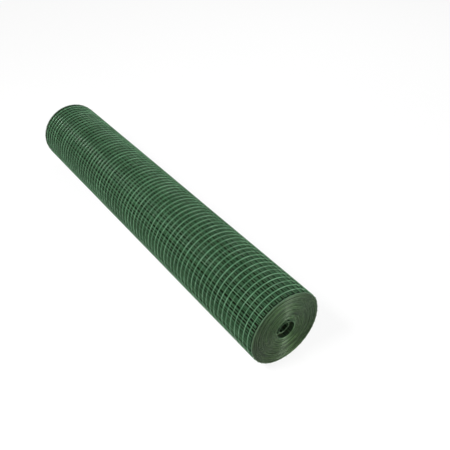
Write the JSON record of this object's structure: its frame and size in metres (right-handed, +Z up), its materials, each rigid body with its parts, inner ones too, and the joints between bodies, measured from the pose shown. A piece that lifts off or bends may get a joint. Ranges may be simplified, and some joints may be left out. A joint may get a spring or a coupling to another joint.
{
  "type": "roll of welded wire mesh fencing",
  "caption": "Tight roll of green plastic-coated welded square wire mesh lying on its side, with an open bore along its axis and the edges of its turns showing on both ends.",
  "frame": {"origin": "on the floor under the middle of the lying roll", "axes": "+X along the roll axis, +Z up from the floor that the roll lies on"},
  "size_m": [0.9026, 0.1562, 0.1561],
  "materials": {
    "green_wire": "satin green plastic coating on galvanised steel wire"
  },
  "bodies": {
    "root": {"mesh_roll": "green_wire"}
  },
  "joints": []
}
